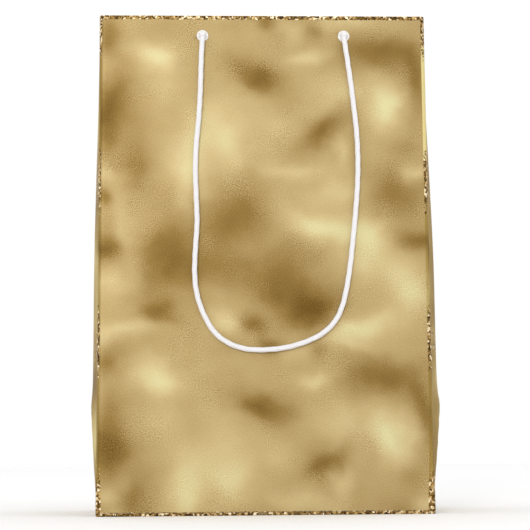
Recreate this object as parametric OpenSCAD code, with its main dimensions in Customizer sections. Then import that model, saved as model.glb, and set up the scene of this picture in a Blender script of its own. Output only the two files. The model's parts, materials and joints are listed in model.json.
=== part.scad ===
// Gift bag: a folded paper carrier with a turned-in top, a flap-and-board base and two rope handles.
// The bag stands on Z = 0 with its front towards -Y. It folds flat: the gussets close inwards on their
// middle creases, the front comes back to the back wall, and the base turns up behind the back wall.

/* [Bag] */
// Width across the front
bag_w = 203; // [190:1:240]
// Depth from front to back
bag_d = 121; // [110:1:130]
// Height of the open bag
bag_h = 308; // [290:1:360]
// How far the paper is turned in around the top
hem_h = 40; // [30:1:50]

/* [Paper and card] */
// Thickness of the printed paper
paper_t = 0.3; // [0.2:0.05:0.35]
// Thickness of the card strip inside the top hem
card_t = 0.6; // [0.4:0.1:0.7]
// Thickness of the loose board in the base
board_t = 0.8; // [0.6:0.1:1.2]

/* [Eyelets] */
// Distance from the centre of the bag to its left eyelet
left_eyelet = 37.5; // [34:0.5:40]
// Distance between the two eyelets of one wall
eyelet_gap = 88; // [80:1:90]
// Distance from the top edge down to the eyelets
eyelet_drop = 13.5; // [11:0.5:18]
// Radius of the hole through an eyelet
bore_r = 2; // [1.8:0.1:2.2]
// Radius of an eyelet's outer ring
flange_r = 3.7; // [3.4:0.1:4.2]

/* [Handles] */
// Diameter of the rope
cord_d = 3.1; // [2.6:0.1:3.2]

/* [Hidden] */

half_w = bag_w / 2;
half_d = bag_d / 2;

// Creases: the gap left at a corner fold, at a gusset's middle crease and at the back's level crease
corner_gap = 0.5;
middle_gap = 0.15;
level_gap = 0.3;
level_crease = bag_d / 2;

// Base, from the ground up: two lapped main flaps, the side flaps, then the board
lap_half = 15;
flap_layers = 3 * paper_t;
base_top = flap_layers + board_t;
wall_foot = base_top + 0.3;
side_flap_reach = 62;
side_flap_taper = 22;
board_gap = 1.2;

// Top hem: it stops short of the corner folds so that the gussets can close against the walls
wall_hem_inset = 12;
gusset_hem_inset = 5;
card_inset = 16;
card_h = hem_h - 4;
hem_depth = paper_t + card_t;

// Glue flap that joins the ends of the sheet at the back left corner
seam_inset = 4;
seam_w = 15;

// Eyelets, measured inwards from a wall's outer face
eyelet_z = bag_h - eyelet_drop;
barrel_r = bore_r + 0.3;
hole_r = barrel_r + 0.05;
flange_h = 0.8;
lip_r = flange_h / 2;
washer_t = 0.4;
washer_face = hem_depth + paper_t;
clinch_t = 0.3;
clinch_r = bore_r + 1;
eyelet_back = washer_face + washer_t + clinch_t;

// Rope: the knot behind each eyelet, and the pivot in front of it where the handle swings
cord_r = cord_d / 2;
knot_gap = 0.05;
knot_l = 4.2;
knot_r = 3.6;
pivot_off = 2.6;
cord_sides = 8;
steps_per_span = 2;

// Route of one handle: x from the left eyelet, depth below the eyelets, distance off the wall
HANDLE_ROUTE = [
    [0, 2, 2.6], [-0.5, 9, 2.5], [-1, 22, 2.3], [-1.5, 38, 2.1], [-2.5, 54, 2], [-4, 70, 2],
    [-4.5, 86, 2], [-4, 102, 2], [-3.5, 118, 2], [-4.5, 134, 2], [-5, 148, 2], [-4, 160, 2],
    [-0.5, 172, 2], [6, 184, 2], [14, 191, 2], [24, 195, 2], [35, 196, 2], [48, 195, 2],
    [60, 192, 2], [71, 187, 2], [79, 180, 2], [84, 171, 2], [87, 160, 2], [89.5, 146, 2],
    [91.5, 130, 2], [93.5, 112, 2], [95, 94, 2], [95.5, 78, 2], [95, 62, 2], [93.5, 46, 2.1],
    [92, 32, 2.2], [90.5, 20, 2.3], [89, 9, 2.5], [88, 2, 2.6]
];

// ---- shared shapes ----

// A flat sheet from one corner to the opposite one
module sheet(low, high) {
    translate(low) cube(high - low);
}

// Children turned to face the back, so that one drawing makes both walls
module on_back() {
    rotate([0, 0, 180]) children();
}

// Children placed at each eyelet of the front wall, with Z pointing into the bag
module at_eyelets() {
    for (x = [-left_eyelet, eyelet_gap - left_eyelet])
        translate([x, -half_d, eyelet_z]) rotate([-90, 0, 0]) children();
}

// A tall wall sheet of the front, from one height to another, with its eyelet holes
module wall_sheet(inset, depth, thick, low_z, high_z) {
    difference() {
        sheet([inset - half_w, depth - half_d, low_z], [half_w - inset, depth + thick - half_d, high_z]);
        at_eyelets() translate([0, 0, depth - 1]) cylinder(h = thick + 2, r = hole_r, $fn = 48);
    }
}

// Half of the right gusset, from the middle crease towards the back
module gusset_half(near, far_inset, depth, low_z) {
    sheet([half_w - depth - paper_t, near, low_z], [half_w - depth, half_d - paper_t - far_inset, bag_h]);
}

// ---- walls ----

module front_panel() {
    color("#c8a96a") wall_sheet(0, 0, paper_t, wall_foot, bag_h);
}

module back_panel() {
    color("#c8a96a") on_back() wall_sheet(0, 0, paper_t, level_crease + level_gap, bag_h);
}

module back_lower_panel() {
    color("#c8a96a")
        sheet([-half_w, half_d - paper_t, wall_foot], [half_w, half_d, level_crease - level_gap]);
}

module right_gusset_rear_panel() {
    color("#c2a15f") gusset_half(middle_gap, corner_gap, 0, wall_foot);
}

module right_gusset_front_panel() {
    color("#c2a15f") mirror([0, 1, 0]) gusset_half(middle_gap, corner_gap, 0, wall_foot);
}

module left_gusset_rear_panel() {
    color("#c2a15f") mirror([1, 0, 0]) gusset_half(middle_gap, corner_gap, 0, wall_foot);
}

module left_gusset_front_panel() {
    color("#c2a15f") on_back() gusset_half(middle_gap, corner_gap, 0, wall_foot);
}

module side_seam_flap() {
    color("#f4f0e8")
        sheet([seam_inset - half_w, half_d - 2 * paper_t, level_crease + seam_inset],
              [seam_inset + seam_w - half_w, half_d - paper_t, bag_h - hem_h - 1]);
}

// ---- turned-in top ----

module hem() {
    wall_sheet(wall_hem_inset, hem_depth, paper_t, bag_h - hem_h, bag_h);
}

module card() {
    wall_sheet(card_inset, paper_t, card_t, bag_h - card_h, bag_h - paper_t);
}

module gusset_hem() {
    gusset_half(2 * middle_gap, gusset_hem_inset, paper_t, bag_h - hem_h);
}

module front_hem() {
    color("#f4f0e8") hem();
}

module back_hem() {
    color("#f4f0e8") on_back() hem();
}

module front_card() {
    color("#e6dfd0") card();
}

module back_card() {
    color("#e6dfd0") on_back() card();
}

module right_gusset_rear_hem() {
    color("#f4f0e8") gusset_hem();
}

module right_gusset_front_hem() {
    color("#f4f0e8") mirror([0, 1, 0]) gusset_hem();
}

module left_gusset_rear_hem() {
    color("#f4f0e8") mirror([1, 0, 0]) gusset_hem();
}

module left_gusset_front_hem() {
    color("#f4f0e8") on_back() gusset_hem();
}

// ---- base ----

module bottom_back_flap() {
    color("#c8a96a") sheet([-half_w, -lap_half, 0], [half_w, half_d, paper_t]);
}

// The front flap lies on the ground and steps up over the back flap, which it is glued to
module bottom_front_flap() {
    step = lap_half + 2 * paper_t;
    color("#c8a96a")
        translate([-half_w, 0, 0]) rotate([90, 0, 90])
            linear_extrude(height = bag_w)
                polygon([[-half_d, 0], [-step, 0], [-step, paper_t], [lap_half, paper_t],
                         [lap_half, 2 * paper_t], [-step - paper_t, 2 * paper_t],
                         [-step - paper_t, paper_t], [-half_d, paper_t]]);
}

module side_flap() {
    inner = half_w - side_flap_reach;
    translate([0, 0, 2 * paper_t]) linear_extrude(height = paper_t)
        polygon([[half_w, -half_d + 1], [half_w, half_d - 1],
                 [inner, half_d - side_flap_taper], [inner, -half_d + side_flap_taper]]);
}

module bottom_right_flap() {
    color("#f4f0e8") side_flap();
}

module bottom_left_flap() {
    color("#f4f0e8") mirror([1, 0, 0]) side_flap();
}

module base_board() {
    reach_x = half_w - paper_t - board_gap;
    reach_y = half_d - paper_t - board_gap;
    color("#e6dfd0") sheet([-reach_x, -reach_y, flap_layers], [reach_x, reach_y, base_top]);
}

// ---- eyelets ----

// Outer ring, its rolled lip, the barrel through the wall and the clinched end behind the washer
module eyelet() {
    rotate_extrude($fn = 64) {
        translate([bore_r, -flange_h]) square([flange_r - lip_r - bore_r, flange_h]);
        translate([flange_r - lip_r, -lip_r]) circle(r = lip_r, $fn = 32);
        translate([bore_r, -flange_h]) square([barrel_r - bore_r, flange_h + eyelet_back]);
        translate([bore_r, eyelet_back - clinch_t]) square([clinch_r - bore_r, clinch_t]);
    }
}

module washer() {
    translate([0, 0, washer_face]) difference() {
        cylinder(h = washer_t, r = flange_r, $fn = 64);
        translate([0, 0, -1]) cylinder(h = washer_t + 2, r = hole_r, $fn = 48);
    }
}

module front_eyelets() {
    color("#f2efe6") at_eyelets() eyelet();
}

module back_eyelets() {
    color("#f2efe6") on_back() at_eyelets() eyelet();
}

module front_washers() {
    color("#f2efe6") at_eyelets() washer();
}

module back_washers() {
    color("#f2efe6") on_back() at_eyelets() washer();
}

// ---- rope handles ----

// Knot behind an eyelet, with the rope's end that runs out through the bore to the swing pivot
module knot() {
    start = eyelet_back + knot_gap;
    intersection() {
        translate([0, 0, start + knot_l / 2]) sphere(r = knot_r, $fn = 48);
        translate([-knot_r, -knot_r, start]) cube([2 * knot_r, 2 * knot_r, knot_l]);
    }
    translate([0, 0, -pivot_off]) cylinder(h = pivot_off + start + 1, r = cord_r, $fn = 48);
    translate([0, 0, -pivot_off]) sphere(r = cord_r, $fn = 48);
}

module front_knots() {
    color("#fbfbfd") at_eyelets() knot();
}

module back_knots() {
    color("#fbfbfd") on_back() at_eyelets() knot();
}

// A smooth curve through the route's points
function curve_point(p, i, t) =
    let (
        a = p[max(i - 1, 0)],
        b = p[i],
        c = p[i + 1],
        d = p[min(i + 2, len(p) - 1)]
    )
    0.5 * ((2 * b) + (c - a) * t + (2 * a - 5 * b + 4 * c - d) * t * t
        + (3 * b - a - 3 * c + d) * t * t * t);

function smooth(p, steps) = concat(
    [for (i = [0 : len(p) - 2], s = [0 : steps - 1]) curve_point(p, i, s / steps)],
    [p[len(p) - 1]]
);

function unit(v) = v / norm(v);

// A ring of the tube's skin around one centre: the rope lies along the wall, so Y is always to its side
function ring(centre, along, r, sides) =
    let (
        across = unit(cross(along, [0, 1, 0])),
        outward = unit(cross(across, along))
    )
    [for (k = [0 : sides - 1])
        centre + r * (cos(360 * k / sides) * across + sin(360 * k / sides) * outward)];

module tube(path, r, sides) {
    last = len(path) - 1;
    skin = [for (i = [0 : last])
        each ring(path[i], unit(path[min(i + 1, last)] - path[max(i - 1, 0)]), r, sides)];
    walls = [for (i = [0 : last - 1], k = [0 : sides - 1])
        [i * sides + k, i * sides + (k + 1) % sides,
         (i + 1) * sides + (k + 1) % sides, (i + 1) * sides + k]];
    caps = [[for (k = [sides - 1 : -1 : 0]) k], [for (k = [0 : sides - 1]) last * sides + k]];
    polyhedron(points = skin, faces = concat(walls, caps));
}

module handle_cord() {
    path = [for (p = HANDLE_ROUTE) [p.x - left_eyelet, -half_d - p.z, eyelet_z - p.y]];
    tube(smooth(path, steps_per_span), cord_r, cord_sides);
}

module front_handle_cord() {
    color("#fbfbfd") handle_cord();
}

module back_handle_cord() {
    color("#fbfbfd") on_back() handle_cord();
}

back_panel();
back_hem();
back_card();
back_eyelets();
back_washers();
back_knots();
side_seam_flap();
back_lower_panel();
bottom_back_flap();
bottom_front_flap();
bottom_left_flap();
bottom_right_flap();
base_board();
right_gusset_rear_panel();
right_gusset_rear_hem();
right_gusset_front_panel();
right_gusset_front_hem();
left_gusset_rear_panel();
left_gusset_rear_hem();
left_gusset_front_panel();
left_gusset_front_hem();
front_panel();
front_hem();
front_card();
front_eyelets();
front_washers();
front_knots();
front_handle_cord();
back_handle_cord();
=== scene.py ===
"""A gold gift bag with white rope handles: paper, eyelets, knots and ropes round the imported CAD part."""

import json
import math

import bmesh
import bpy
from mathutils import Matrix, Vector, noise


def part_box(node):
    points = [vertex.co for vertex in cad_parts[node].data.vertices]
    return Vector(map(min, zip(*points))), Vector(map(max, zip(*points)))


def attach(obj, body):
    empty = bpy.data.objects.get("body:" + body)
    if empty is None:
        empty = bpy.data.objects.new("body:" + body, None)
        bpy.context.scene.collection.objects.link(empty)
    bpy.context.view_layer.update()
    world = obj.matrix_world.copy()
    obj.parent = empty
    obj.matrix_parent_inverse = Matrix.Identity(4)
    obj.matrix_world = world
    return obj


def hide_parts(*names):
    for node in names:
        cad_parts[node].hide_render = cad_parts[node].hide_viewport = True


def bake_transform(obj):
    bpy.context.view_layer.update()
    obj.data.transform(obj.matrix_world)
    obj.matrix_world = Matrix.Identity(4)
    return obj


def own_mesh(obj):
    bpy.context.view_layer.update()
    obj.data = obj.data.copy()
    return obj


MM = 0.001

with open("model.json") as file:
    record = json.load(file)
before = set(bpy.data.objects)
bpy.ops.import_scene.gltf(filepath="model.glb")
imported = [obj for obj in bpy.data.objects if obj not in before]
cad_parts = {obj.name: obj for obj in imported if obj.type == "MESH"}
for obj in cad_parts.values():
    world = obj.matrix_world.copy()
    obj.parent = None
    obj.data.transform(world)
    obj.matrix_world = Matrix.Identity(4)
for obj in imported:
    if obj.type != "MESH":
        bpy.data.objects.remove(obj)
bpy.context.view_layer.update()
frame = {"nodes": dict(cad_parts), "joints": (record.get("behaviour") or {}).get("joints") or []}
joints = {joint["name"]: joint for joint in frame["joints"]}

# ---- sizes, read from the frame ----

front_low, front_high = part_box("front_panel")
HALF_W = front_high.x
HALF_D = -front_low.y
FOOT = front_low.z
TOP = front_high.z
PAPER = front_high.y - front_low.y
HEM_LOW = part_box("front_hem")[0].z
WALL_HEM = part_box("front_hem")[1].y + HALF_D
LEVEL = joints["back_level_crease"]["pos_m"][2]
SWING = joints["front_handle_swing"]["pos_m"]
EYELET_Z = SWING[2]
SWING_OFF = -SWING[1] - HALF_D
ring_low, ring_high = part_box("front_eyelets")
FLANGE_R = (ring_high.z - ring_low.z) / 2
EYELETS = (ring_low.x + FLANGE_R, ring_high.x - FLANGE_R)
FLANGE_H = -HALF_D - ring_low.y
RING_BACK = ring_high.y + HALF_D
KNOT_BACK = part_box("front_knots")[1].y + HALF_D

# ---- sizes of the soft shape ----

# Half the way round the bag, from the front's middle to the back's
HALF_GIRTH = 2 * (HALF_W + HALF_D)
# How far a corner fold's piece reaches on each side of its fold, and the level crease's above and below it
STRIP = 12 * MM
CREASE_HALF = 1.5 * MM
# How far inside a gusset its turned-in top lies, where there is no card strip
GUSSET_HEM = 0.65 * MM
# Rounding of the upright corner folds at the foot and from some way up
CORNER_FOOT = 1.5 * MM
CORNER_TOP = 3.2 * MM
CORNER_RISE = 50 * MM
# How far each gusset stands out past the front's side, and the height where it stands out most
BULGE_LEFT = 6.0 * MM
BULGE_RIGHT = 9.6 * MM
KINK = LEVEL + 7.5 * MM
# The gussets' middle crease: how far it is drawn in, and how far that reaches beside it
PINCH_DEPTH = 0.9 * MM
PINCH_REACH = 2.5 * MM
# Deepest hollow in a wall
DENT_DEPTH = 0.6 * MM
# Distances between the columns of a wall and of a gusset
WALL_STEP = 5 * MM
GUSSET_STEP = 2.5 * MM
# The rope, the ball at its turn, its run through the eyelet, and the swell that fills the eyelet's mouth
# with how far out from the wall the swell's middle lies
ROPE_R = 1.55 * MM
TURN_R = 2.0 * MM
RUN_R = 1.92 * MM
SWELL_R = 2.5 * MM
SWELL_OUT = 0.4 * MM
# The eyelet's bore, and the hole in the paper round its barrel
BORE_R = 2.0 * MM
HOLE_R = 2.3 * MM
# The slots of a paper piece's two materials
PRINTED, PLAIN = 0, 1

# ---- sizes of the print ----

# How far the print is off centre, and how far down the bag it repeats
ART_SHIFT = 0.6 * MM
FOIL_REPEAT = 2 * HALF_W
# How widely noise pulls the foil's marks out of shape
MARK_DRIFT = 22 * MM
# Glitter along the top and the foot, and how ragged its edge is
GLITTER_TOP = 3.0 * MM
GLITTER_FOOT = 2.3 * MM
GLITTER_RAGGED = 1.4 * MM
# Glitter patches on a gusset: the first one's distance from the top, and the distance between them
PATCH_DROP = 8 * MM
PATCH_EVERY = 98 * MM
# The painted highlight, a pale stretch beside the right gusset's folds: how far down it starts to fade, and
# where it ends
PAINTED_HIGHLIGHT_FADE = 85 * MM
PAINTED_HIGHLIGHT_END = 110 * MM


def smooth(share):
    """0 below 0, 1 above 1, with no corners between."""
    share = min(max(share, 0.0), 1.0)
    return share * share * (3 - 2 * share)


def between(low, high, step):
    """Even steps from low to high, both included."""
    count = max(1, round((high - low) / step))
    return [low + (high - low) * k / count for k in range(count + 1)]


# ---- camera ----

def make_camera():
    """Nearly square to the front, near the height of its foot and looking up a little."""
    data = bpy.data.cameras.new("camera")
    data.lens = 95.7
    data.sensor_width = 36
    camera = bpy.data.objects.new("camera", data)
    bpy.context.scene.collection.objects.link(camera)
    distance = 0.85
    place = Matrix.Translation((-0.0328, -HALF_D - distance, 0.0334))
    turn = Matrix.Rotation(math.radians(-2.23), 4, "Z")
    pitch = Matrix.Rotation(math.radians(90 + 7.83), 4, "X")
    roll = Matrix.Rotation(math.radians(-0.45), 4, "Z")
    camera.matrix_world = place @ turn @ pitch @ roll
    bpy.context.scene.camera = camera


# ---- node helpers ----

def srgb(red, green, blue):
    """A colour given as 0 to 255 on a screen, as the linear values that nodes take."""
    def linear(value):
        """One part of the colour."""
        value /= 255
        return value / 12.92 if value <= 0.04045 else ((value + 0.055) / 1.055) ** 2.4
    return (linear(red), linear(green), linear(blue), 1.0)


def new_material(name):
    """An empty node material with its surface shader."""
    material = bpy.data.materials.new(name)
    material.use_nodes = True
    tree = material.node_tree
    return material, tree, tree.nodes["Principled BSDF"]


def feed(tree, socket, value):
    """Links a socket, or sets it to a constant."""
    if isinstance(value, bpy.types.NodeSocket):
        tree.links.new(value, socket)
    elif value is not None:
        socket.default_value = value


def maths(tree, operation, *values):
    """A math node's result."""
    made = tree.nodes.new("ShaderNodeMath")
    made.operation = operation
    for socket, value in zip(made.inputs, values):
        feed(tree, socket, value)
    return made.outputs[0]


def minus(tree, value, less):
    """value with less taken away."""
    return maths(tree, "SUBTRACT", value, less)


def times(tree, value, factor):
    """value multiplied by factor."""
    return maths(tree, "MULTIPLY", value, factor)


def times_plus(tree, value, factor, added):
    """value multiplied by factor, with added put on."""
    return maths(tree, "MULTIPLY_ADD", value, factor, added)


def vector_maths(tree, operation, *values):
    """A vector math node's result: a number for a length, or else a vector."""
    made = tree.nodes.new("ShaderNodeVectorMath")
    made.operation = operation
    for socket, value in zip(made.inputs, values):
        feed(tree, socket, value)
    return made.outputs["Value"] if operation in ("LENGTH", "DOT_PRODUCT") else made.outputs["Vector"]


def parts_of(tree, vector):
    """A vector's X, Y and Z."""
    made = tree.nodes.new("ShaderNodeSeparateXYZ")
    tree.links.new(vector, made.inputs[0])
    return made.outputs


def turned_back(tree, vector, degrees):
    """A vector across the print, turned back by that many degrees."""
    made = tree.nodes.new("ShaderNodeVectorRotate")
    made.rotation_type = "Z_AXIS"
    feed(tree, made.inputs["Vector"], vector)
    made.inputs["Angle"].default_value = -math.radians(degrees)
    return made.outputs[0]


def noise_at(tree, place, scale, detail=2.0, colour=False):
    """Cloudy noise, from 0 to 1, whose grains are 1/scale metres."""
    made = tree.nodes.new("ShaderNodeTexNoise")
    feed(tree, made.inputs["Vector"], place)
    made.inputs["Scale"].default_value = scale
    made.inputs["Detail"].default_value = detail
    return made.outputs["Color"] if colour else made.outputs["Fac"]


def cells_at(tree, place, scale):
    """Random cells, 1/scale metres wide: their colour and the distance from the middle."""
    made = tree.nodes.new("ShaderNodeTexVoronoi")
    feed(tree, made.inputs["Vector"], place)
    made.inputs["Scale"].default_value = scale
    return made.outputs["Color"], made.outputs["Distance"]


def spread(tree, value, low, high, new_low=0.0, new_high=1.0):
    """value's range from low to high, spread over the new range and held there."""
    made = tree.nodes.new("ShaderNodeMapRange")
    for socket, number in zip(made.inputs, (value, low, high, new_low, new_high)):
        feed(tree, socket, number)
    return made.outputs[0]


def ramp(tree, share, stops):
    """A colour ramp with its (place, colour) stops."""
    made = tree.nodes.new("ShaderNodeValToRGB")
    feed(tree, made.inputs[0], share)
    elements = made.color_ramp.elements
    while len(elements) < len(stops):
        elements.new(0.5)
    for element, (place, colour) in zip(elements, stops):
        element.position = place
        element.color = colour
    return made.outputs[0]


def mix_colours(tree, share, first, second):
    """first where share is 0 and second where it is 1."""
    made = tree.nodes.new("ShaderNodeMix")
    made.data_type = "RGBA"
    feed(tree, made.inputs[0], share)
    feed(tree, made.inputs[6], first)
    feed(tree, made.inputs[7], second)
    return made.outputs[2]


def bumps(tree, shader, height, distance, strength=1.0):
    """Raises the surface by height, 0 to 1, times distance in metres."""
    made = tree.nodes.new("ShaderNodeBump")
    made.inputs["Strength"].default_value = strength
    made.inputs["Distance"].default_value = distance
    feed(tree, made.inputs["Height"], height)
    tree.links.new(made.outputs["Normal"], shader.inputs["Normal"])


def uv_layer(tree, name):
    """A UV layer's place, in metres along the paper."""
    layer = tree.nodes.new("ShaderNodeUVMap")
    layer.uv_map = name
    return layer.outputs["UV"]


def object_place(tree):
    """The point on the piece at rest, in metres."""
    return tree.nodes.new("ShaderNodeTexCoord").outputs["Object"]


# ---- the printed foil ----

# Soft marks in one repeat of the foil: across and down it as shares, the mark's reach across and down in mm,
# how far it is turned in degrees, and how much paler or darker it is
FOIL_MARKS = [
    (0.04, 0.31, 10, 24, 10, -0.42), (0.49, 0.20, 18, 9, 22, -0.40), (0.68, 0.36, 15, 8, -42, -0.33),
    (0.86, 0.12, 23, 12, 0, -0.34), (0.97, 0.22, 7, 22, -10, -0.28), (0.13, 0.47, 9, 14, 0, -0.23),
    (0.01, 0.56, 7, 7, 0, -0.32), (0.02, 0.72, 12, 11, 0, -0.42), (0.21, 0.75, 15, 24, 0, -0.36),
    (0.39, 0.64, 17, 18, 0, -0.25), (0.35, 0.79, 26, 14, 0, -0.22), (0.56, 0.83, 22, 13, 30, -0.34),
    (0.64, 0.91, 18, 12, 0, -0.42), (0.47, 0.96, 9, 8, 0, -0.32), (0.19, 0.92, 14, 7, 20, -0.34),
    (0.90, 0.58, 16, 16, 0, -0.29), (0.97, 0.70, 14, 7, 0, -0.34), (0.52, 0.03, 8, 6, 0, -0.26),
    (0.93, 0.42, 11, 8, 0, -0.12), (0.12, 0.34, 10, 14, 0, -0.09), (0.03, 0.07, 9, 11, 0, -0.28),
    (0.47, 0.63, 14, 14, 0, -0.14), (0.66, 0.04, 8, 6, 0, -0.16), (0.58, 0.74, 16, 9, 15, -0.11),
    (0.18, 0.12, 15, 9, 12, 0.42), (0.20, 0.23, 10, 9, 0, 0.12), (0.88, 0.29, 12, 16, 0, 0.46),
    (0.65, 0.13, 13, 5, -8, 0.26), (0.73, 0.25, 18, 10, 0, 0.24), (0.37, 0.36, 22, 22, 0, 0.28),
    (0.27, 0.47, 10, 23, 0, 0.32), (0.41, 0.42, 8, 13, 0, 0.14), (0.59, 0.48, 18, 5, 4, 0.22),
    (0.68, 0.65, 21, 10, 16, 0.45), (0.82, 0.72, 16, 19, 0, 0.36), (0.93, 0.86, 14, 18, 0, 0.36),
    (0.97, 0.50, 9, 5, -30, 0.26), (0.03, 0.48, 7, 4, 20, 0.20), (0.08, 0.66, 5, 20, -8, 0.18),
    (0.04, 0.84, 13, 8, 0, 0.20), (0.38, 0.96, 10, 8, 0, 0.29), (0.06, 0.97, 22, 5, 0, 0.26),
    (0.78, 0.97, 18, 7, -14, 0.40), (0.77, 0.02, 13, 5, 0, 0.20), (0.73, 0.43, 6, 10, 0, 0.22),
    (0.59, 0.05, 7, 7, 0, 0.16), (0.55, 0.34, 11, 8, 0, 0.12), (0.72, 0.55, 15, 8, 0, 0.24),
]


def foil_tone(tree, sheet, across, down):
    """The foil's cloudy tone, dark 0 to pale 1: soft marks, which repeat down the bag, and noise."""
    low = (-1.0, -FOIL_REPEAT / 2, -1.0)
    high = (1.0, FOIL_REPEAT / 2, 1.0)
    join = tree.nodes.new("ShaderNodeCombineXYZ")
    feed(tree, join.inputs[0], across)
    feed(tree, join.inputs[1], down)
    drift = noise_at(tree, sheet, 30, 3.0, colour=True)
    drift = vector_maths(tree, "SUBTRACT", drift, (0.5, 0.5, 0.5))
    drift = vector_maths(tree, "MULTIPLY", drift, (MARK_DRIFT, MARK_DRIFT, 0.0))
    place = vector_maths(tree, "ADD", join.outputs[0], drift)
    tone = times_plus(tree, noise_at(tree, sheet, 42, 3.0), 0.22, 0.40)
    for u, v, wide, tall, turn, strength in FOIL_MARKS:
        mark = ((u - 0.5) * FOIL_REPEAT, v * FOIL_REPEAT, 0.0)
        away = vector_maths(tree, "SUBTRACT", place, mark)
        away = vector_maths(tree, "WRAP", away, high, low)
        if turn:
            away = turned_back(tree, away, turn)
        away = vector_maths(tree, "MULTIPLY", away, (1 / (wide * MM), 1 / (tall * MM), 0.0))
        squared = vector_maths(tree, "DOT_PRODUCT", away, away)
        falloff = maths(tree, "EXPONENT", times(tree, squared, -1.0))
        tone = times_plus(tree, falloff, strength, tone)
    return tone


def gusset_art(tree, sheet):
    """The part of the art that a gusset shows: its distance round the bag, wrapped to a wall's width."""
    girth = maths(tree, "WRAP", parts_of(tree, sheet)["X"], HALF_GIRTH, -HALF_GIRTH)
    return maths(tree, "WRAP", girth, HALF_W, -HALF_W)


def foil_gold(tree, tone, side, across, down, on_gusset):
    """The foil's colour: gold on the walls, a darker, stronger gold on the gussets that is painted shade, and
    a pale stretch high on the right one that is a painted highlight.
    """
    gold = ramp(tree, tone, [
        (0.0, srgb(92, 66, 18)), (0.25, srgb(130, 104, 54)), (0.5, srgb(165, 142, 96)),
        (0.74, srgb(187, 167, 121)), (1.0, srgb(202, 196, 148)),
    ])
    # Painted shade: the gussets take a darker copy of the walls' gold
    side_gold_painted_light = ramp(tree, tone, [
        (0.0, srgb(88, 62, 12)), (0.5, srgb(150, 124, 66)), (1.0, srgb(198, 184, 128)),
    ])
    # Painted highlight: a pale stretch on the right gusset beside its front fold, high up and fading down the
    # bag
    beside_fold = spread(tree, across, HALF_W + 4 * MM, HALF_W + 24 * MM, 1.0, 0.0)
    pale = times(tree, spread(tree, down, PAINTED_HIGHLIGHT_FADE, PAINTED_HIGHLIGHT_END, 0.8, 0.0), beside_fold)
    pale = times(tree, pale, maths(tree, "GREATER_THAN", side, 0.0))
    side_gold_painted_light = mix_colours(tree, pale, side_gold_painted_light, srgb(222, 208, 146))
    return mix_colours(tree, on_gusset, gold, side_gold_painted_light)


def glitter_zone(tree, sheet, across, up, down, on_gusset):
    """1 where the foil glitters: along its top and foot, and in patches that thin out across a gusset."""
    ragged = minus(tree, noise_at(tree, sheet, 900, 1.0), 0.5)
    blotch = minus(tree, noise_at(tree, sheet, 260, 2.0), 0.5)
    patch = maths(tree, "COSINE", times(tree, minus(tree, down, PATCH_DROP), 2 * math.pi / PATCH_EVERY))
    patch = times_plus(tree, blotch, 1.6, patch)
    patch = times_plus(tree, ragged, 1.6, patch)
    sparse = spread(tree, across, HALF_W + 2 * MM, HALF_W + HALF_D, 0.5, 1.9)
    patch = times(tree, maths(tree, "GREATER_THAN", patch, sparse), on_gusset)
    height = times_plus(tree, ragged, GLITTER_RAGGED, up)
    top_edge = maths(tree, "GREATER_THAN", height, TOP - GLITTER_TOP)
    low_edge = maths(tree, "LESS_THAN", height, GLITTER_FOOT)
    return maths(tree, "MAXIMUM", maths(tree, "MAXIMUM", top_edge, low_edge), patch)


def glitter_flecks(tree, sheet):
    """The glitter's flecks: their colours, and the distance from each one's middle."""
    cell, middle = cells_at(tree, sheet, 800)
    fleck = tree.nodes.new("ShaderNodeSeparateColor")
    tree.links.new(cell, fleck.inputs[0])
    sparkle = ramp(tree, fleck.outputs[0], [
        (0.0, srgb(34, 18, 4)), (0.26, srgb(78, 52, 16)), (0.55, srgb(134, 104, 54)),
        (0.78, srgb(184, 152, 96)), (1.0, srgb(244, 228, 194)),
    ])
    return sparkle, middle


def gusset_creases(tree, across, up, on_gusset):
    """1 along a gusset's level crease and the slanting ones below it, fading to 0 beside them."""
    slant = minus(tree, minus(tree, across, HALF_W), times(tree, up, HALF_D / LEVEL))
    slant = spread(tree, maths(tree, "ABSOLUTE", slant), 0.0, 0.7 * MM, 1.0, 0.0)
    level = spread(tree, maths(tree, "ABSOLUTE", minus(tree, up, LEVEL)), 0.0, 0.6 * MM, 1.0, 0.0)
    low_gusset = times(tree, maths(tree, "LESS_THAN", up, LEVEL), on_gusset)
    return maths(tree, "MAXIMUM", times(tree, slant, low_gusset), times(tree, level, on_gusset))


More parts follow.
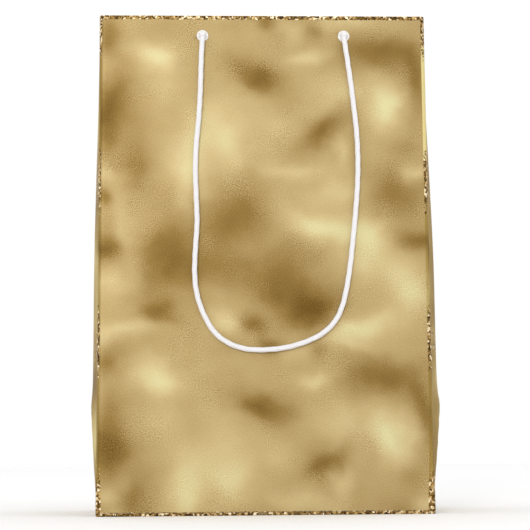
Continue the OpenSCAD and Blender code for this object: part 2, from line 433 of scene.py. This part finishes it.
def foil_print(name):
    """Cloudy gold foil with glitter along its top and bottom edges, and glitter patches on the gussets."""
    material, tree, shader = new_material(name)
    sheet = uv_layer(tree, "girth")
    art = parts_of(tree, uv_layer(tree, "art"))
    across = maths(tree, "ABSOLUTE", art["X"])
    up = art["Y"]
    down = minus(tree, TOP, up)
    # The gusset's print starts at this distance across, which is less near the foot
    fold = spread(tree, up, 0.0, LEVEL, HALF_W - 4 * MM, HALF_W - 1.9 * MM)
    on_gusset = maths(tree, "GREATER_THAN", across, fold)

    jump = times(tree, minus(tree, gusset_art(tree, sheet), art["X"]), on_gusset)
    tone = foil_tone(tree, sheet, maths(tree, "ADD", art["X"], jump), down)
    zone = spread(tree, noise_at(tree, sheet, 34, 2.0), 0.50, 0.66)
    grain = minus(tree, noise_at(tree, sheet, 1500, 1.0), 0.5)
    tone = times_plus(tree, grain, times_plus(tree, zone, 0.75, 0.34), tone)

    gold = foil_gold(tree, tone, art["X"], across, down, on_gusset)
    glitter = glitter_zone(tree, sheet, across, up, down, on_gusset)
    sparkle, fleck_middle = glitter_flecks(tree, sheet)
    feed(tree, shader.inputs["Base Color"], mix_colours(tree, glitter, gold, sparkle))
    shine = times_plus(tree, noise_at(tree, sheet, 60, 2.0), 0.2, 0.36)
    feed(tree, shader.inputs["Roughness"], times_plus(tree, glitter, -0.12, shine))
    shader.inputs["Metallic"].default_value = 0.25
    shader.inputs["Specular IOR Level"].default_value = 0.3
    shader.inputs["Specular Tint"].default_value = srgb(255, 224, 156)

    height = times_plus(tree, times(tree, fleck_middle, glitter), 0.9, times(tree, grain, 0.05))
    height = times_plus(tree, gusset_creases(tree, across, up, on_gusset), -0.6, height)
    bumps(tree, shader, height, 0.25 * MM, 0.8)
    return material


def uncoated(name, colour, fibre=0.05):
    """Matte paper or card, with fibres raised that many millimetres and faint blotches."""
    material, tree, shader = new_material(name)
    place = object_place(tree)
    dark = tuple(part * 0.9 for part in colour[:3]) + (1.0,)
    fibres = noise_at(tree, vector_maths(tree, "MULTIPLY", place, (1.0, 1.0, 0.3)), 1400, 3.0)
    shade = times_plus(tree, noise_at(tree, place, 40, 3.0), 0.6, times(tree, fibres, 0.4))
    feed(tree, shader.inputs["Base Color"], mix_colours(tree, shade, dark, colour))
    feed(tree, shader.inputs["Roughness"], spread(tree, fibres, 0.3, 0.7, 0.75, 0.92))
    bumps(tree, shader, fibres, fibre * MM)
    return material


def scatter(shader, weight):
    """Lets that share of the light about a millimetre into the surface."""
    shader.inputs["Subsurface Weight"].default_value = weight
    shader.inputs["Subsurface Radius"].default_value = (MM, MM, MM)
    shader.inputs["Subsurface Scale"].default_value = 1.0


def enamel(name):
    """White enamel on a small pressed ring, cream where it is worn."""
    material, tree, shader = new_material(name)
    place = object_place(tree)
    worn = spread(tree, noise_at(tree, place, 900, 3.0), 0.55, 0.7)
    feed(tree, shader.inputs["Base Color"], mix_colours(tree, worn, srgb(224, 222, 219), srgb(206, 200, 188)))
    feed(tree, shader.inputs["Roughness"], times_plus(tree, worn, 0.2, 0.28))
    shader.inputs["Coat Weight"].default_value = 0.3
    scatter(shader, 0.4)
    bumps(tree, shader, noise_at(tree, place, 500, 2.0), 0.04 * MM)
    return material


def rope_fibre(name):
    """Soft white twisted rope, with fine fibres."""
    material, tree, shader = new_material(name)
    place = object_place(tree)
    fibres = noise_at(tree, place, 2600, 3.0)
    white = mix_colours(tree, fibres, srgb(212, 210, 212), srgb(230, 228, 229))
    feed(tree, shader.inputs["Base Color"], white)
    feed(tree, shader.inputs["Roughness"], spread(tree, fibres, 0.3, 0.7, 0.7, 0.9))
    shader.inputs["Sheen Weight"].default_value = 0.3
    scatter(shader, 0.5)
    bumps(tree, shader, fibres, 0.1 * MM)
    return material


# ---- ropes ----

# The handle from its left eyelet: across, down and out from the wall, in mm
HANDLE_ROUTE = [
    (0, 0, 2.6), (0, 2, 2.6), (-0.5, 9, 2.5), (-1, 22, 2.3), (-1.5, 38, 2.1), (-2.5, 54, 2), (-4, 70, 2),
    (-4.5, 86, 2), (-4, 102, 2), (-3.5, 118, 2), (-4.5, 134, 2), (-5, 148, 2), (-4, 160, 2), (-0.5, 172, 2),
    (6, 184, 2), (14, 191, 2), (24, 195, 2), (35, 196, 2), (48, 195, 2), (60, 192, 2), (71, 187, 2),
    (79, 180, 2), (84, 171, 2), (87, 160, 2), (89.5, 146, 2), (91.5, 130, 2), (93.5, 112, 2), (95, 94, 2),
    (95.5, 78, 2), (95, 62, 2), (93.5, 46, 2.1), (92, 32, 2.2), (90.5, 20, 2.3), (89, 9, 2.5), (88, 2, 2.6),
    (88, 0, 2.6),
]


def to_wall(point, face):
    """A point across, up and out from the front wall (face 1), or turned round to the back one (face -1)."""
    across, up, out = point
    return Vector((face * across, -face * (HALF_D + out), up))


def handle_points(face):
    """The handle's route in the row frame."""
    left = EYELETS[0]
    return [to_wall((left + a * MM, EYELET_Z - d * MM, o * MM), face) for a, d, o in HANDLE_ROUTE]


def smooth_path(points, steps):
    """A curve through the points, with that many steps between each pair."""
    padded = [points[0] * 2 - points[1]] + points + [points[-1] * 2 - points[-2]]
    path = []
    for a, b, c, d in zip(padded, padded[1:], padded[2:], padded[3:]):
        for k in range(steps):
            t = k / steps
            path.append(0.5 * (2 * b + (c - a) * t + (2 * a - 5 * b + 4 * c - d) * t * t
                               + (3 * b - a - 3 * c + d) * t * t * t))
    return path + [points[-1]]


def rope_mesh(mesh, path, radius, sides=15, strands=3, lay_length=9 * MM, groove=0.05, closed=False):
    """Adds a rope to a bmesh: a round section, with the grooves of its strands winding round it."""
    count = len(path)
    side = None
    along = 0.0
    rings = []
    for k, point in enumerate(path):
        after = path[(k + 1) % count] if closed else path[min(k + 1, count - 1)]
        before = path[k - 1] if closed else path[max(k - 1, 0)]
        tangent = (after - before).normalized()
        if side is None:
            side = tangent.orthogonal().normalized()
        side = (side - tangent * side.dot(tangent)).normalized()
        other = tangent.cross(side)
        along += (point - path[k - 1]).length if k else 0.0
        ring = []
        for s in range(sides):
            angle = 2 * math.pi * s / sides
            reach = radius * (1 + groove * math.cos(strands * angle - 2 * math.pi * along / lay_length))
            ring.append(mesh.verts.new(point + reach * (side * math.cos(angle) + other * math.sin(angle))))
        rings.append(ring)
    pairs = list(zip(rings, rings[1:])) + ([(rings[-1], rings[0])] if closed else [])
    for first, second in pairs:
        for s in range(sides):
            t = (s + 1) % sides
            mesh.faces.new((first[s], first[t], second[t], second[s]))
    if not closed:
        mesh.faces.new(list(reversed(rings[0])))
        mesh.faces.new(rings[-1])


def finish_mesh(mesh, name, materials, sharp=40):
    """Turns a bmesh into a smooth-shaded object with sharp edges past that many degrees."""
    bmesh.ops.recalc_face_normals(mesh, faces=mesh.faces)
    data = bpy.data.meshes.new(name)
    mesh.to_mesh(data)
    mesh.free()
    for material in materials:
        data.materials.append(material)
    data.shade_smooth()
    data.set_sharp_from_angle(angle=math.radians(sharp))
    made = bpy.data.objects.new(name, data)
    bpy.context.scene.collection.objects.link(made)
    return made


def make_handle(name, face, material):
    """A rope handle hanging against its wall, from the swing axis at one eyelet to the other."""
    path = smooth_path(handle_points(face), 14)
    mesh = bmesh.new()
    rope_mesh(mesh, path, ROPE_R)
    handle = finish_mesh(mesh, name, [material], sharp=80)
    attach(handle, name)
    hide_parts(name + "_cord")


def ball(mesh, middle, radius, steps=10):
    """Adds a small ball of rope to a bmesh."""
    shape = bmesh.ops.create_uvsphere(mesh, u_segments=2 * steps, v_segments=steps, radius=radius)
    bmesh.ops.translate(mesh, verts=shape["verts"], vec=middle)


def trefoil(middle, size, depth, face, steps=96):
    """An overhand knot pulled tight: a three-lobed loop that crosses itself."""
    path = []
    for k in range(steps):
        t = 2 * math.pi * k / steps
        across = size * (math.sin(t) + 2 * math.sin(2 * t)) / 3
        up = size * (math.cos(t) - 2 * math.cos(2 * t)) / 3
        path.append(middle + to_wall((across, up, 0), face) - to_wall((0, 0, 0), face)
                    + Vector((0, face * depth * math.sin(3 * t), 0)))
    return path


def make_knots(name, face, body, material):
    """Each rope end: its turn at the eyelet, the run through the bore, the knot and the tail."""
    mesh = bmesh.new()
    rope_in_knot = 1.15 * MM
    knot_size = 2.4 * MM
    knot_depth = 0.85 * MM
    knot_middle = (RING_BACK + KNOT_BACK) / 2
    run_length = SWING_OFF + knot_middle
    # Across and up from the knot's middle, in mm
    tail_route = ((0, 0), (1, -3), (1.5, -7), (1.2, -11))
    for x in EYELETS:
        ball(mesh, to_wall((x, EYELET_Z, SWING_OFF), face), TURN_R)
        ball(mesh, to_wall((x, EYELET_Z, SWELL_OUT), face), SWELL_R)
        run = [to_wall((x, EYELET_Z, SWING_OFF - share * run_length), face) for share in between(0, 1, 0.1)]
        rope_mesh(mesh, run, RUN_R)
        middle = to_wall((x, EYELET_Z, -knot_middle), face)
        knot = trefoil(middle, knot_size, knot_depth, face)
        rope_mesh(mesh, knot, rope_in_knot, closed=True, lay_length=6 * MM)
        tail = [to_wall((x + a * MM, EYELET_Z + u * MM, -knot_middle), face) for a, u in tail_route]
        rope_mesh(mesh, smooth_path(tail, 8), rope_in_knot)
    knots = finish_mesh(mesh, name + "_tied", [material], sharp=80)
    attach(knots, body)
    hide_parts(name)


# ---- the paper's shape ----

def corner_radius(z):
    """The rounding of the upright corner folds at height z."""
    return CORNER_FOOT + (CORNER_TOP - CORNER_FOOT) * smooth(z / CORNER_RISE)


def bulge(v, z, widest):
    """How far a gusset stands out at v, from -1 at its front fold to 1 at its rear one."""
    across = smooth((0.8 - abs(v)) / 0.4)
    if z < KINK:
        reach = widest * min(across, (z / KINK) ** 0.8)
    else:
        rise = (z - KINK) / (TOP - KINK)
        held_at_kink = 0.82
        lost_by_top = 0.42
        held = held_at_kink - lost_by_top * smooth((rise - 0.3) / 0.7)
        kink_fade = 7 * MM
        reach = widest * across * (held + (1 - held) * math.exp(-(z - KINK) / kink_fade))
    pinch = PINCH_DEPTH * math.exp(-abs(v) * HALF_D / PINCH_REACH) * smooth(z / LEVEL)
    return reach - pinch


def dent(x, z, face):
    """Slight hollows in a wall, none near its folds or its stiffened top."""
    off_folds = smooth((HALF_W - 14 * MM - abs(x)) / (25 * MM))
    end_fade = 30 * MM
    clear = off_folds * smooth((HEM_LOW - z) / end_fade) * smooth(z / end_fade)
    return DENT_DEPTH * clear * (0.5 + 0.5 * noise.noise(Vector((x * 14, z * 11, face * 7.3))))


def skin(q, z, inset=0.0):
    """The paper's point at height z and q along its girth from the front's middle, moved inwards by inset."""
    side = 1 if q >= 0 else -1
    along = abs(q)
    if along > HALF_GIRTH:
        side, along = -side, 2 * HALF_GIRTH - along
    rear = along > HALF_GIRTH / 2
    if rear:
        along = HALF_GIRTH - along
    radius = corner_radius(z)
    if along < HALF_W - radius:
        x, y = along, -HALF_D + dent(side * along, z, -1 if rear else 1) + inset
    elif along < HALF_W + radius:
        turn = (along - HALF_W + radius) / (2 * radius) * math.pi / 2
        x = HALF_W - radius + (radius - inset) * math.sin(turn)
        y = -HALF_D + radius - (radius - inset) * math.cos(turn)
    else:
        y = -HALF_D + along - HALF_W
        widest = BULGE_RIGHT if side > 0 else BULGE_LEFT
        x = HALF_W + bulge((y + HALF_D) / HALF_D - 1, z, widest) - inset
    return Vector((side * x, -y if rear else y, z))


def art_x(q):
    """Where q falls across the printed art: 0 in the middle of a wall, past HALF_W on a gusset."""
    q += ART_SHIFT
    return q if q <= HALF_GIRTH / 2 else HALF_GIRTH - q


def on_side(side, distances):
    """Columns at those distances round from the front's middle, on the right (1) or left (-1).
    Those on the left of the back are counted on round from the right, so the paper's grain runs on."""
    if side < 0 and max(distances) > HALF_GIRTH / 2 + MM:
        return [2 * HALF_GIRTH - q for q in distances]
    return [side * q for q in distances]


def hem_depth(q):
    """How far inside the turned-in top lies: deeper on a wall, where it wraps a card strip."""
    along = min(abs(q), abs(HALF_GIRTH - abs(q)))
    return WALL_HEM + (GUSSET_HEM - WALL_HEM) * smooth((along - HALF_W + STRIP) / (2 * STRIP))


def heights(low, high):
    """Levels for a sheet, closer together round the level crease."""
    near = [LEVEL + step * MM for step in (-6, -3.5, -1.5, 0, 1.5, 3.5, 6, 9, 13)]
    near = [z for z in near if low < z < high]
    even = [z for z in between(low, high, 5 * MM) if all(abs(z - n) > 1.4 * MM for n in near)]
    return sorted(set(near + even + [low, high]))


def sheet_rails(q, low, high, folded):
    """A paper strip at q: two rails of (inset, height), printed and plain, and how many steps show print."""
    if not folded:
        levels = heights(low, high)
        return [(0, z) for z in levels], [(PAPER, z) for z in levels], len(levels) - 1
    depth = hem_depth(q)
    half = depth / 2
    levels = heights(low, TOP - WALL_HEM)[:-1] + [TOP - half - MM, TOP - half]
    outer = [(0, z) for z in levels]
    inner = [(PAPER, z) for z in levels]
    printed = len(levels) - 1
    fold_steps = 6
    for k in range(1, fold_steps):
        turn = math.pi * k / fold_steps
        outer.append((half - half * math.cos(turn), TOP - half + half * math.sin(turn)))
        small = half - PAPER
        inner.append((half - small * math.cos(turn), TOP - half + small * math.sin(turn)))
    for z in reversed(between(HEM_LOW, TOP - half, 6 * MM)):
        outer.append((depth, z))
        inner.append((depth - PAPER, z))
    return outer, inner, printed


def add_face(mesh, corners, finish):
    """Adds a face of (vertex, q, height) corners, with its place in the art and round the girth."""
    made = mesh.faces.new([vert for vert, _, _ in corners])
    made.material_index = finish
    art = mesh.loops.layers.uv["art"]
    girth = mesh.loops.layers.uv["girth"]
    for loop, (_, q, z) in zip(made.loops, corners):
        loop[art].uv = (art_x(q), z)
        loop[girth].uv = (q, z)


def add_patch(mesh, columns, low, high, folded):
    """Adds one closed patch of paper, swept along its columns, to a bmesh."""
    strips = []
    for q in columns:
        outer, inner, printed = sheet_rails(q, low, high, folded)
        outer = [(mesh.verts.new(skin(q, z, inset)), q, z) for inset, z in outer]
        inner = [(mesh.verts.new(skin(q, z, inset)), q, z) for inset, z in inner]
        strips.append((outer, inner))
    last = len(strips[0][0]) - 1
    for (outs, ins), (outs2, ins2) in zip(strips, strips[1:]):
        for k in range(last):
            finish = PRINTED if k < printed else PLAIN
            add_face(mesh, (outs[k], outs2[k], outs2[k + 1], outs[k + 1]), finish)
            add_face(mesh, (ins[k], ins[k + 1], ins2[k + 1], ins2[k]), PLAIN)
        for k in (0, last):
            add_face(mesh, (outs[k], ins[k], ins2[k], outs2[k]), PLAIN)
    for outs, ins in (strips[0], strips[-1]):
        for k in range(last):
            add_face(mesh, (outs[k], outs[k + 1], ins[k + 1], ins[k]), PLAIN)


def paper_mesh():
    """An empty bmesh with the paper's two layers of places."""
    mesh = bmesh.new()
    mesh.loops.layers.uv.new("art")
    mesh.loops.layers.uv.new("girth")
    return mesh


def make_sheet(name, patches, materials):
    """A paper piece made of patches (columns, low, high, folded)."""
    mesh = paper_mesh()
    for patch in patches:
        add_patch(mesh, *patch)
    made = finish_mesh(mesh, name, materials)
    return made


def cut_holes(sheet, face):
    """Punches the two eyelet holes through a wall."""
    mesh = bmesh.new()
    for x in EYELETS:
        middle = to_wall((x, EYELET_Z, 0), face)
        tube = bmesh.ops.create_cone(mesh, cap_ends=True, segments=32, radius1=HOLE_R, radius2=HOLE_R,
                                     depth=8 * MM)
        bmesh.ops.rotate(mesh, verts=tube["verts"], matrix=Matrix.Rotation(math.pi / 2, 3, "X"))
        bmesh.ops.translate(mesh, verts=tube["verts"], vec=middle)
    punch = finish_mesh(mesh, "punch", [])
    cut = sheet.modifiers.new("holes", "BOOLEAN")
    cut.operation = "DIFFERENCE"
    cut.solver = "EXACT"
    cut.object = punch
    bpy.context.view_layer.update()
    graph = bpy.context.evaluated_depsgraph_get()
    holed = bpy.data.meshes.new_from_object(sheet.evaluated_get(graph))
    sheet.modifiers.clear()
    sheet.data = holed
    bpy.data.objects.remove(punch)


def arc_columns(corner, low, high):
    """Columns across a corner fold, close together on its rounding."""
    near = [corner + step * MM for step in (-5, -4, -3, -2.2, -1.5, -1, -0.5, 0, 0.5, 1, 1.5, 2.2, 3, 4, 5)]
    near = [q for q in near if low < q < high]
    even = [q for q in between(low, high, 2.4 * MM) if all(abs(q - n) > 0.6 * MM for n in near)]
    return sorted(set(near + even + [low, high]))


def make_walls(materials):
    """Front wall, and the back wall above its level crease."""
    wall = between(-HALF_W + STRIP, HALF_W - STRIP, WALL_STEP)
    front = make_sheet("front_wall_sheet", [(wall, FOOT, TOP, True)], materials)
    cut_holes(front, 1)
    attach(front, "front_wall")
    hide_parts("front_panel", "front_hem")
    behind = [q + HALF_GIRTH for q in wall]
    back_patch = (behind, LEVEL + CREASE_HALF, TOP, True)
    back = make_sheet("back_wall_sheet", [back_patch], materials)
    cut_holes(back, -1)
    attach(back, "back_wall")
    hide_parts("back_panel", "back_hem")


def make_folds(side, name, materials):
    """The upright corner folds on one side, which bend between a wall and a gusset half."""
    front = on_side(side, arc_columns(HALF_W, HALF_W - STRIP, HALF_W + STRIP))
    rear_corner = HALF_GIRTH - HALF_W
    rear = on_side(side, arc_columns(rear_corner, rear_corner - STRIP, rear_corner + STRIP))
    fold = make_sheet(name + "_front_fold", [(front, FOOT, TOP, True)], materials)
    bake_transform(fold)
    rear_patch = (rear, LEVEL + CREASE_HALF, TOP, True)
    fold = make_sheet(name + "_rear_fold", [rear_patch], materials)
    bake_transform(fold)


def make_gusset(side, name, materials):
    """The two halves of one gusset, which meet on its middle crease."""
    middle = HALF_GIRTH / 2
    corner = HALF_GIRTH - HALF_W
    front = on_side(side, between(HALF_W + STRIP, middle, GUSSET_STEP))
    flat_rear = between(middle, corner - STRIP, GUSSET_STEP)
    rear = on_side(side, flat_rear)
    low_rear = on_side(side, flat_rear + arc_columns(corner, corner - STRIP, corner)[1:])
    halves = {
        "front": [(front, FOOT, TOP, True)],
        "rear": [(rear, LEVEL + CREASE_HALF, TOP, True), (low_rear, FOOT, LEVEL + CREASE_HALF, False)],
    }
    for half, patches in halves.items():
        body = name + "_gusset_" + half
        sheet = make_sheet(body + "_sheet", patches, materials)
        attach(sheet, body)
        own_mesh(sheet)
        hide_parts(body + "_panel", body + "_hem")


def back_columns():
    """Columns across the whole back, from corner fold to corner fold."""
    gap = 0.3 * MM
    left = HALF_GIRTH - HALF_W + gap
    right = HALF_GIRTH + HALF_W - gap
    middle = between(left + STRIP, right - STRIP, WALL_STEP)[1:-1]
    return arc_columns(left, left, left + STRIP) + middle + arc_columns(right, right - STRIP, right)


def make_back_foot(materials):
    """The back wall's level crease, and the strip below it that folds up with the base."""
    crease = make_sheet("back_crease", [(back_columns(), LEVEL - CREASE_HALF, LEVEL + CREASE_HALF, False)],
                        materials)
    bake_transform(crease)
    foot_patch = (back_columns(), FOOT, LEVEL - CREASE_HALF, False)
    foot = make_sheet("back_foot_sheet", [foot_patch], materials)
    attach(foot, "back_foot")
    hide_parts("back_lower_panel")


def make_base(materials):
    """The glued base: a shallow tray with a rounded rim, and the seam where its flaps lap."""
    mesh = paper_mesh()
    # Columns from the front's middle round the right side to the back's middle
    half = [0]
    for corner in (HALF_W, HALF_GIRTH - HALF_W):
        half += between(half[-1], corner - STRIP, WALL_STEP)[1:]
        half += arc_columns(corner, corner - STRIP, corner + STRIP)[1:]
    half += between(half[-1], HALF_GIRTH, WALL_STEP)[1:]
    girth = half + [2 * HALF_GIRTH - q for q in reversed(half[1:-1])]
    rim_top = joints["base_rear_crease"]["pos_m"][2]
    plate = 0.85 * MM
    inside = [(1 * MM, plate), (0.6 * MM, plate), (PAPER, 1 * MM), (PAPER, rim_top)]
    rounding = [(0, 1), (0.08, 0.6), (0.3, 0.25), (0.6, 0.07), (1, 0)]
    outside = [(0, rim_top)] + [(inset * MM, z * MM) for inset, z in rounding]
    rings = []
    for inset, z in inside + outside:
        points = [skin(q, FOOT, inset) for q in girth]
        rings.append([(mesh.verts.new((point.x, point.y, z)), q, z) for point, q in zip(points, girth)])
    for level, (first, second) in enumerate(zip(rings, rings[1:])):
        finish = PRINTED if level >= len(inside) else PLAIN
        for k in range(len(girth)):
            n = (k + 1) % len(girth)
            add_face(mesh, (first[k], first[n], second[n], second[k]), finish)
    add_face(mesh, rings[0], PLAIN)
    add_face(mesh, rings[-1][::-1], PRINTED)
    cut_lap_seam(mesh)
    tray = finish_mesh(mesh, "base_tray", materials)
    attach(tray, "base")
    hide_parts("bottom_back_flap", "bottom_front_flap")


def cut_lap_seam(mesh):
    """Cuts the groove where the front flap steps up over the back one, and lays the art on the underside."""
    def underside():
        """The tray's flat faces on the ground."""
        return [face for face in mesh.faces if all(abs(vert.co.z) < 0.01 * MM for vert in face.verts)]

    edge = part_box("bottom_back_flap")[0].y
    for y in (edge - 2 * PAPER, edge):
        flat = underside()
        geometry = flat + list({line for face in flat for line in face.edges})
        bmesh.ops.bisect_plane(mesh, geom=geometry, plane_co=(0, y, 0), plane_no=(0, 1, 0), dist=1e-7)
    for face in underside():
        for loop in face.loops:
            place = (loop.vert.co.x, loop.vert.co.y + 2 * HALF_D)
            for layer in mesh.loops.layers.uv.values():
                loop[layer].uv = place
    groove = [face for face in underside() if abs(face.calc_center_median().y - edge + PAPER) < PAPER / 2]
    raised = bmesh.ops.extrude_face_region(mesh, geom=groove)
    floor = [part for part in raised["geom"] if isinstance(part, bmesh.types.BMVert)]
    bmesh.ops.translate(mesh, verts=floor, vec=(0, 0, PAPER))
    bmesh.ops.delete(mesh, geom=groove, context="FACES")


# ---- eyelets ----

def make_eyelets(name, face, body, material):
    """Pressed rings: a rolled outer lip, the barrel through the wall, and the clinched end inside."""
    clinch_r = 3 * MM
    barrel_r = BORE_R + 0.25 * MM
    lip = [
        (BORE_R, 0.3), (BORE_R + 0.12 * MM, 0.68), (BORE_R + 0.4 * MM, 0.93), (BORE_R + 0.8 * MM, 1.0),
        (FLANGE_R - 0.5 * MM, 0.86), (FLANGE_R - 0.15 * MM, 0.5), (FLANGE_R, 0.2), (FLANGE_R, 0.0),
        (barrel_r, 0.0),
    ]
    inner = [
        (barrel_r, RING_BACK - 0.3 * MM), (clinch_r, RING_BACK - 0.3 * MM),
        (clinch_r, RING_BACK - 0.1 * MM), (clinch_r - 0.3 * MM, RING_BACK),
        (BORE_R + 0.15 * MM, RING_BACK), (BORE_R, RING_BACK - 0.2 * MM),
    ]
    profile = [(r, share * FLANGE_H) for r, share in lip] + [(r, -depth) for r, depth in inner]
    steps = 48
    mesh = bmesh.new()
    for x in EYELETS:
        rings = []
        for k in range(steps):
            turn = 2 * math.pi * k / steps
            ring = [(x + r * math.cos(turn), EYELET_Z + r * math.sin(turn), out) for r, out in profile]
            rings.append([mesh.verts.new(to_wall(point, face)) for point in ring])
        for first, second in zip(rings, rings[1:] + rings[:1]):
            for k in range(len(profile)):
                n = (k + 1) % len(profile)
                mesh.faces.new((first[k], first[n], second[n], second[k]))
    eyelets = finish_mesh(mesh, name + "_pressed", [material], sharp=50)
    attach(eyelets, body)
    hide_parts(name)


# ---- CAD pieces that stay as they are ----

def finish_cad(nodes, material):
    """Gives CAD nodes a material, and leaves their meshes alone."""
    for name in nodes:
        data = frame["nodes"][name].data
        data.materials.clear()
        data.materials.append(material)


# ---- studio ----

def make_studio():
    """A pale floor, even light all round, a key light far off at the front left and a weak fill light."""
    scene = bpy.context.scene
    scene.view_settings.view_transform = "Standard"
    world = bpy.data.worlds.new("world")
    scene.world = world
    world.use_nodes = True
    background = world.node_tree.nodes["Background"]
    background.inputs["Color"].default_value = (1, 1, 1, 1)
    background.inputs["Strength"].default_value = 1.0
    mesh = bmesh.new()
    floor_reach = 6
    bmesh.ops.create_grid(mesh, x_segments=1, y_segments=1, size=floor_reach)
    material, _, shader = new_material("floor")
    shader.inputs["Base Color"].default_value = (0.97, 0.97, 0.97, 1)
    shader.inputs["Roughness"].default_value = 0.9
    floor = finish_mesh(mesh, "floor", [material])
    lights = (("key", (-1.1, -3.9, 1.1), 0.7, 45), ("fill", (1.2, -1.2, 0.8), 1.2, 2))
    for name, place, size, power in lights:
        data = bpy.data.lights.new(name, "AREA")
        data.size = size
        data.energy = power
        light = bpy.data.objects.new(name, data)
        light.location = place
        aim = Vector((0, 0, TOP / 2)) - light.location
        light.rotation_euler = aim.to_track_quat("-Z", "Y").to_euler()
        scene.collection.objects.link(light)


# ---- the bag ----

make_camera()
rope = rope_fibre("white_rope")
make_handle("front_handle", 1, rope)
make_handle("back_handle", -1, rope)
make_knots("front_knots", 1, "front_wall", rope)
make_knots("back_knots", -1, "back_wall", rope)

white_paper = uncoated("white_paper", srgb(245, 241, 233))
pale_card = uncoated("pale_card", srgb(232, 225, 208), 0.09)
paper = [foil_print("gold_foil"), white_paper]
make_walls(paper)
make_back_foot(paper)
make_base(paper)
for side, name in ((1, "right"), (-1, "left")):
    make_folds(side, name, paper)
    make_gusset(side, name, paper)

white_enamel = enamel("white_enamel")
make_eyelets("front_eyelets", 1, "front_wall", white_enamel)
make_eyelets("back_eyelets", -1, "back_wall", white_enamel)
finish_cad(("front_card", "back_card", "front_washers", "back_washers", "base_board"), pale_card)
finish_cad(("side_seam_flap", "bottom_left_flap", "bottom_right_flap"), white_paper)

make_studio()
